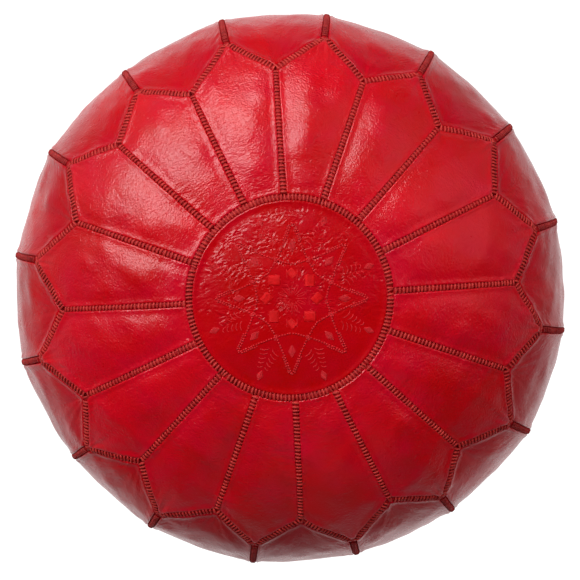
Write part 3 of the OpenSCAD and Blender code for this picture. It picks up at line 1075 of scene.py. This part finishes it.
petal_leather = leather_material(
    "petal_leather", (216, 0, 24), (192, 0, 8), (206, 0, 48), 0.3, 1.1, 0.15, 0.48
)
medallion_leather = leather_material(
    "medallion_leather", (198, 0, 10), (180, 0, 2), (192, 0, 34), 0.26, 0.45, 0.0, 0.42, True
)
# Painted shade: the side panels' leather is a darker copy of the petals' leather, to dim the band round
# the rim.
side_leather = leather_material(
    "side_leather", (204, 0, 18), (176, 0, 8), (190, 0, 44), 0.28, 0.75, 0.0, 0.26
)
base_leather = leather_material(
    "base_leather", (172, 4, 12), (146, 2, 8), (160, 2, 26), 0.5, 1.2, 0.0, 0.3
)
seam_thread = thread_material("seam_thread", (206, 56, 50), (180, 36, 36), 0.6)
# Painted shade: the side seams' thread is a darker copy of the seam thread, for the bars at the rim that
# lie in shade.
shaded_rim_thread = thread_material("shaded_rim_thread", (178, 44, 42), (152, 28, 30), 0.7)
seam_fold = thread_material("seam_fold", (186, 0, 16), (160, 0, 10), 0.6, 900.0, 0.0002)
silk_thread = thread_material(
    "embroidery_thread", (226, 34, 44), (206, 16, 26), 0.42, 2400.0, 0.00006, 0.1
)
satin_thread = thread_material("satin_thread", (226, 0, 12), (206, 0, 4), 0.6, 2400.0, 0.00005)
zip_fabric = thread_material("zip_tape", (150, 14, 24), (134, 8, 18), 0.8, 3000.0, 0.0001, 0.4)
cotton = thread_material("liner_cotton", (226, 216, 196), (212, 200, 178), 0.9, 2600.0, 0.0001, 0.4)
fibre = thread_material(
    "stuffing_fibre", (236, 232, 222), (220, 214, 202), 0.95, 1200.0, 0.0004, 0.5
)
brass = worn_material(
    "zip_metal", (150, 112, 58), (196, 158, 92), 420.0, (4.0, 0.65), (0.4, 0.7), (0.24, 0.2),
    (0.00004, 0.6), 1.0,
)
zip_plastic = worn_material(
    "zip_teeth", (150, 12, 22), (170, 20, 30), 600.0, (3.0, 0.6), (0.35, 0.65), (0.28, 0.15),
    (0.00002, 0.5), 0.0,
)


# ---- The cover's pieces ----

sheet, starts = stuffed_sheet()


def ring_of_panels(region, count, first, seed, name, node, material, slot):
    """All the panels of a region, as pieces."""
    panels = []
    for k in range(count):
        column = (LINES // count * k + first) * COLUMNS
        panel = Panel(sheet, starts, region, column, seed + 10 * k)
        panel.piece(f"{name}_{k + 1:02d}", material, f"{node}_{k + 1:02d}", slot)
        panels.append(panel)
    return panels


petals = ring_of_panels(
    "petals", PITCHES, 0, 100, "petal", "top_petal", petal_leather, "petal_leather"
)
sides = ring_of_panels(
    "sides", PITCHES, -1, 400, "side", "side_panel", side_leather, "side_leather"
)
bases = ring_of_panels(
    "base", PITCHES // 2, 0, 700, "base", "base_panel", base_leather, "base_leather"
)

inside = np.linspace(MEDALLION_EDGE - EDGE_STEPS[-1], 1 * MM, 112)[1:]
medallion_radii = np.concatenate([MEDALLION_EDGE - EDGE_STEPS, inside])
leather_disc(
    "medallion", medallion_radii, 560, medallion_leather, "top_medallion"
)

disc_rim = []
for side, end in ((-1, "front"), (1, "back")):
    x, y = disc_half_grid(side)
    points = base_disc_at(x, y)
    normals = grid_normals(points)
    if normals[20, 20, 2] > 0:
        x, y, points = x[:, ::-1], y[:, ::-1], points[:, ::-1]
        normals = grid_normals(points)
    layer = np.stack([x, y, np.full(x.shape, 0.5 + 0.1 * side)], -1)
    leather(
        f"disc_{end}", points, normals, base_leather, layer, f"base_disc_{end}"
    )
    disc_rim += [points[-1 - ANCHOR], points[:, ANCHOR], points[:, -1 - ANCHOR]]
disc_rim = np.concatenate(disc_rim)
disc_rim = disc_rim[np.argsort(np.arctan2(disc_rim[:, 1], disc_rim[:, 0]))]
disc_rim = np.concatenate([disc_rim, disc_rim[:1]])

# ---- Seams ----

CIRCLE = np.linspace(0, TAU, 361)
FINE = np.linspace(0, 1, 241)
LOW_RISE = -0.3 * MM  # the seams of the base lie a little deeper


def circle_line(s):
    """The line round the cover at a place on its profile."""
    return lumpy(*revolve(CIRCLE, s + 0 * CIRCLE, VALLEY))


def first_row(panel):
    return panel.points[ANCHOR]


def last_row(panel):
    return panel.points[-1 - ANCHOR]


def between_panels(seam, panels, k, skips, rise=0.0):
    """Sews a panel to the one before it."""
    line = panels[k].at(0 * FINE, FINE)
    left, right = panels[k - 1].points[:, -1 - ANCHOR], panels[k].points[:, ANCHOR]
    seam.run(line, left, right, skips, rise=rise)


def far_end(panel, part):
    """The line of a share of the panel's last row."""
    return panel.at(part, 0 * part + 1)


ring_seam = Seam(31)
rim_r = MEDALLION_EDGE - EDGE_STEPS[ANCHOR]
medallion_rim = medallion_at(rim_r * np.cos(CIRCLE), rim_r * np.sin(CIRCLE))[0]
petal_rims = np.concatenate([first_row(p) for p in petals])
ring_seam.run(circle_line(top_s(RING_R)), medallion_rim, petal_rims, (0, 0), True)

petal_seams, zigzag, base_zigzag, base_seams = (Seam(k) for k in (32, 34, 35, 36))
side_seams = Seam(33, 0.78, 1.32)
halves = FINE / 2, 0.5 + FINE / 2
for k in range(PITCHES):
    between_panels(petal_seams, petals, k, (LONG_CLEAR, 3.6 * MM))
    between_panels(side_seams, sides, k, (LONG_CLEAR, LONG_CLEAR), -0.1 * MM)
    for part, neighbour in zip(halves, (sides[k], sides[(k + 1) % PITCHES])):
        zigzag.run(far_end(petals[k], part), last_row(petals[k]), first_row(neighbour))
    for part, pitch in zip(halves, (2 * k - 1, 2 * k)):
        base = bases[pitch % LINES // 4]
        line = far_end(sides[k], part)
        base_zigzag.run(line, last_row(sides[k]), first_row(base), rise=LOW_RISE)
for k in range(PITCHES // 2):
    between_panels(base_seams, bases, k, (LONG_CLEAR, LONG_CLEAR), LOW_RISE)
for panels, seam, corners in (
    (petals, petal_seams, ((0, 0), (0, 1), (0.5, 1))),
    (sides, base_zigzag, ((0, 1), (0.5, 1))),
    (bases, base_seams, ((0, 0), (0, 1))),
):
    for panel in panels:
        for u, v in corners:
            seam.junction(panel.at(np.array([u]), np.array([v]))[0])
base_ring = Seam(37, lap=1.22)
base_rims = np.concatenate([last_row(p) for p in bases])
base_line = circle_line(base_s(BASE_RING_R))
base_ring.run(base_line, base_rims, disc_rim, (0, 0), True, LOW_RISE)
for seam, name, node, thread in (
    (ring_seam, "ring_seam", "medallion_ring_stitching", seam_thread),
    (petal_seams, "petal_seams", "petal_seam_stitching", seam_thread),
    (side_seams, "side_seams", "side_seam_stitching", shaded_rim_thread),
    (zigzag, "top_zigzag", "top_zigzag_stitching", seam_thread),
    (base_zigzag, "base_zigzag", "base_zigzag_stitching", seam_thread),
    (base_seams, "base_seams", "base_seam_stitching", seam_thread),
    (base_ring, "base_ring", "base_ring_stitching", seam_thread),
):
    seam.pieces(name, node, thread)


# ---- The medallion's embroidery ----

silk, satin = Pile(), Pile()
needle = np.random.default_rng(77)
SATIN_ROWS = 12


def turned(x, y, angle):
    """Pattern coordinates turned to the CAD frame. angle is the way that the pattern's y points."""
    way = angle + PATTERN_TURN
    return y * np.cos(way) - x * np.sin(way), y * np.sin(way) + x * np.cos(way)


def stitches(pile, x, y, angle, width, lift, steps=7):
    """Thread lines laid on the medallion. x and y hold a row for each, in pattern coordinates."""
    t = np.linspace(0, 1, steps)
    old = np.linspace(0, 1, x.shape[1])
    x = np.stack([np.interp(t, old, row) for row in x])
    y = np.stack([np.interp(t, old, row) for row in y])
    place_x, place_y = turned(x, y, angle)
    points, normals = medallion_at(place_x + PATTERN_X, place_y + PATTERN_Y)
    arch = smooth(np.minimum(t, 1 - t) / 0.16)
    points = points + normals * ((lift + width * 0.3) * arch - 0.25 * MM)[None, :, None]
    size = (0.6 + 0.4 * arch) * width
    pile.tubes(points, normals, size + 0 * x, 0.62 * size + 0 * x, 6, 0.5)


def dotted(x, y, angle, pitch=2.5 * MM, length=1.3 * MM, width=0.85 * MM):
    """A row of short stitches along a line in pattern coordinates."""
    s = np.concatenate([[0], np.cumsum(np.hypot(np.diff(x), np.diff(y)))])
    at = np.arange(pitch / 2, s[-1], pitch)
    at = at + needle.normal(0, 0.12 * MM, len(at))
    ends = [at - length / 2, at + length / 2]
    px = np.stack([np.interp(e, s, x) for e in ends], 1) + needle.normal(0, 0.1 * MM, (len(at), 1))
    py = np.stack([np.interp(e, s, y) for e in ends], 1) + needle.normal(0, 0.1 * MM, (len(at), 1))
    stitches(silk, px, py, angle, width, 0.32 * MM, 5)


def lozenge(length, width, place, angle, pitch, thread, taper):
    """A lozenge of side-by-side stitches. Its long diagonal points away from the middle."""
    rows = int(length / pitch)
    at = (np.arange(rows) + 0.5) / rows * 2 - 1
    half = width / 2 * (1 - np.abs(at) ** taper) + 0.35 * MM
    x = np.stack([-half, half], 1)
    y = place + (at * length / 2)[:, None] + 0 * x
    stitches(silk, x, y, angle, thread, 0.34 * MM)


def sprig(x, y, angle, width, lift, steps=7):
    """One line of silk."""
    stitches(silk, (x * MM)[None], (y * MM)[None], angle, width * MM, lift * MM, steps)


def satin_square(side, angle):
    """A square of satin stitch, laid side by side along one of its own sides, standing on a corner."""
    at = (np.arange(SATIN_ROWS) + 0.5) / SATIN_ROWS - 0.5
    a = np.stack([at, at], 1) * side
    b = np.stack([0 * at - 0.5, 0 * at + 0.5], 1) * side
    spin = math.radians(45)
    x, y = a * math.cos(spin) - b * math.sin(spin), a * math.sin(spin) + b * math.cos(spin)
    stitches(satin, x, y + SQUARE_R, angle, side / SATIN_ROWS * 0.62, 0.42 * MM)


# One hollow side of the stars, from tip to tip, in pattern coordinates.
TIP_X = 49.5 * MM
arc_x = np.linspace(-TIP_X, TIP_X, 121)
arc_y = (31.5 + 18 * (np.abs(arc_x) / TIP_X) ** 1.3) * MM
t = np.linspace(0, 1, 9)
for k in range(8):
    eighth = k * TAU / 8
    between = eighth + TAU / 16
    dotted(arc_x, arc_y, eighth)
    for sign in (-1, 1):
        tip = (arc_x * sign > 31 * MM) & (arc_x * sign < 46.5 * MM)
        dotted(arc_x[tip], arc_y[tip] + 1.9 * MM, eighth, 2.1 * MM, 1.2 * MM, 0.75 * MM)
    satin_square((10.2 if k % 2 else 9.2) * MM * (0.85 if k in (2, 6) else 1), eighth)
    lozenge(11 * MM, 6.6 * MM, 48 * MM, eighth, 0.95 * MM, 0.44 * MM, 1.3)
    lozenge(9.5 * MM, 6 * MM, 76 * MM, between, 0.95 * MM, 0.44 * MM, 1.3)
    lozenge(5.5 * MM, 4 * MM, 38.5 * MM, between, 0.9 * MM, 0.4 * MM, 1.1)
    for j in range(5):
        for sign in (-1, 1):
            x = sign * (1.1 + (8.6 - 1.1 * j) * t)
            y = 49 + 4.4 * j + (6.2 - 0.5 * j) * t**0.6 - 2.2 * t**3
            sprig(x, y, between, 0.38, 0.22, 9)
    for sign in (-1, 1):
        sprig(sign * 1.1 * np.sin(math.pi * t), 4 + 10.5 * t, between, 0.26, 0.12, 9)
        sprig(sign * (2.5 + 3.4 * t), 18 + 9 * t, between, 0.3, 0.14)
    sprig(0 * t, 2 + 13 * t, eighth, 0.28, 0.12)
for pile, name, thread in (
    (silk, "embroidery_silk", silk_thread),
    (satin, "embroidery_satin", satin_thread),
):
    piece = pile.build(name, thread)
    stand_in(piece, "medallion_embroidery")

# ---- The zip keeps its CAD shapes, with softened edges ----

for node, material, bevel in (
    ("zip_tape_front", zip_fabric, 0.12),
    ("zip_tape_back", zip_fabric, 0.12),
    ("zip_teeth_front", zip_plastic, 0.22),
    ("zip_teeth_back", zip_plastic, 0.22),
    ("zip_end_stops", brass, 0.2),
    ("zip_slider", brass, 0.25),
    ("zip_pull_tab", brass, 0.25),
):
    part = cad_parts[node]
    part.data.materials.clear()
    part.data.materials.append(material)
    soft = part.modifiers.new("soft_edges", "BEVEL")
    soft.width, soft.segments, soft.limit_method = bevel * MM, 2, "ANGLE"
    soft.angle_limit = math.radians(40)
    soft.harden_normals = True

# ---- The liner bag and the stuffing, inside the leather ----


def inner_form(depth, base_z, every=2):
    """A closed form a little inside the whole cover: rings from the top's middle to the base's."""
    picked = sheet[::every, ::every]
    normals = grid_normals(sheet, True)[::every, ::every]
    angle = np.arctan2(picked[0, :, 1], picked[0, :, 0])
    way = np.stack([np.cos(angle), np.sin(angle), 0 * angle], -1)
    rows = picked - normals * depth
    near_base = np.hypot(rows[..., 0], rows[..., 1]) < BASE_RING_R + 12 * MM
    rows[..., 2] = np.where((rows[..., 2] < base_z) & near_base, base_z, rows[..., 2])
    top_rows = []
    for share in (0.12, 0.3, 0.5, 0.7, 0.86, 0.95):
        points, _ = medallion_at(share * RING_R * way[:, 0], share * RING_R * way[:, 1])
        top_rows.append(points - [0, 0, depth + 0.6 * MM])
    low_rows = [
        way * share * BASE_RING_R + [0, 0, base_z] for share in (0.9, 0.75, 0.55, 0.35, 0.15)
    ]
    rings = np.concatenate([np.stack(top_rows), rows, np.stack(low_rows)])
    poles = np.array([[0, 0, rings[0, :, 2].mean()], [0, 0, base_z]])
    return np.concatenate([rings.reshape(-1, 3), poles]), ring_faces(*rings.shape[:2])


bag, filling = Pile(), Pile()
bag.add(*inner_form(4.6 * MM, 18.6 * MM))
points, faces = inner_form(5.4 * MM, 19.4 * MM)
bag.add(points, [f[:, ::-1] for f in faces])
filling.add(*inner_form(6.6 * MM, 20.4 * MM))
stand_in(bag.build("liner_bag", cotton), "inner_liner_bag")
stand_in(filling.build("filling", fibre), "stuffing")


# ---- Surroundings, light and camera ----


FLOOR_R = 8
GLOW = 1.15  # how brightly the floor shines near the pouf
GLOW_FAR = 0.3  # the share of that farther off
GLOW_FROM, GLOW_TO = 0.4, 0.75


def one_sided_glow(name):
    """A floor that shines upwards and isn't there from below, so that the underside can be seen."""
    m = Shader.material(name)
    away = m.add("VectorMath")
    away.operation = "LENGTH"
    m.put(away.inputs[0], m.coordinates())
    # Painted light: the floor glows as a pool of light, brightest round the pouf and fainter farther off,
    # and lights the pouf from below.
    pool = m.add(
        "MapRange", Value=away.outputs["Value"], From_Min=GLOW_FROM, From_Max=GLOW_TO, To_Min=GLOW,
        To_Max=GLOW_FAR * GLOW,
    )
    pool.interpolation_type = "SMOOTHSTEP"
    light = m.add("Emission", Color=(1, 1, 1, 1), Strength=pool.outputs[0]).outputs[0]
    mixed = m.add("MixShader", Fac=m.add("NewGeometry").outputs["Backfacing"])
    m.put(mixed.inputs[1], light)
    m.put(mixed.inputs[2], m.add("BsdfTransparent").outputs[0])
    m.set(m.tree.nodes["Material Output"], Surface=mixed.outputs[0])
    return m.owner


def softbox(name, place, target, size, energy):
    light = bpy.data.lights.new(name, "AREA")
    light.shape = "RECTANGLE"
    light.size, light.size_y = size
    light.energy = energy
    lamp = placed(name, light)
    lamp.location = place
    lamp.rotation_euler = (target - Vector(place)).to_track_quat("-Z", "Y").to_euler()
    return lamp


floor_mesh = bpy.data.meshes.new("floor")
floor_turn = np.arange(64) * TAU / 64
floor_points = [(FLOOR_R * math.cos(t), FLOOR_R * math.sin(t), -0.2 * MM) for t in floor_turn]
floor_mesh.from_pydata(floor_points, [], [list(range(64))])
floor_mesh.materials.append(one_sided_glow("glowing_floor_pool"))
placed("floor", floor_mesh)

sky = Shader(bpy.data.worlds.new("studio"))
height = sky.add("SeparateXYZ", Vector=sky.coordinates("Generated")).outputs["Z"]
fade = sky.ramp(height, (0.0, 0.4), (0.2, 0.04))
sky.set(sky.tree.nodes["Background"], Color=fade, Strength=0.5)
bpy.context.scene.world = sky.owner

EVEN_AWAY, EVEN_UP, EVEN_SIZE = 1.8, 1.7, 1.5
top = Vector((0, 0, COVER_H))
softbox("key_softbox", (-0.75, 1.35, 1.75), top, (1.5, 1.0), 34)
softbox("fill_softbox", (1.5, 0.5, 1.6), top, (1.4, 1.4), 1.5)
# Even light from round about that colours the leather but shows no shape of its own in its gloss.
for k, energy in enumerate((17, 14, 6)):
    way = math.radians(30 + 120 * k)
    place = (EVEN_AWAY * math.cos(way), EVEN_AWAY * math.sin(way), EVEN_UP)
    lamp = softbox(f"even_light_{k + 1}", place, top, (EVEN_SIZE, EVEN_SIZE), energy)
    lamp.visible_glossy = False

LENS, SENSOR = 140.8, 36
CAMERA_AWAY = 2.2
CAMERA_AIM = Vector((0.0005, 0.0024, 0.6 * COVER_H))
TILT_X, TILT_Y = math.radians(-0.1), math.radians(1.85)  # how far off straight down it looks
CAMERA_ROLL = math.radians(3.4)
camera_data = bpy.data.cameras.new("camera")
camera_data.lens, camera_data.sensor_width = LENS, SENSOR
camera = placed("camera", camera_data)
back = Vector((math.tan(TILT_X), math.tan(TILT_Y), 1)).normalized()
camera.location = CAMERA_AIM + back * CAMERA_AWAY
up = Vector((math.sin(CAMERA_ROLL), math.cos(CAMERA_ROLL), 0))
right = up.cross(back).normalized()
up = back.cross(right)
camera.rotation_euler = Matrix((right, up, back)).transposed().to_euler()
bpy.context.scene.camera = camera
bpy.context.scene.view_settings.view_transform = "Standard"
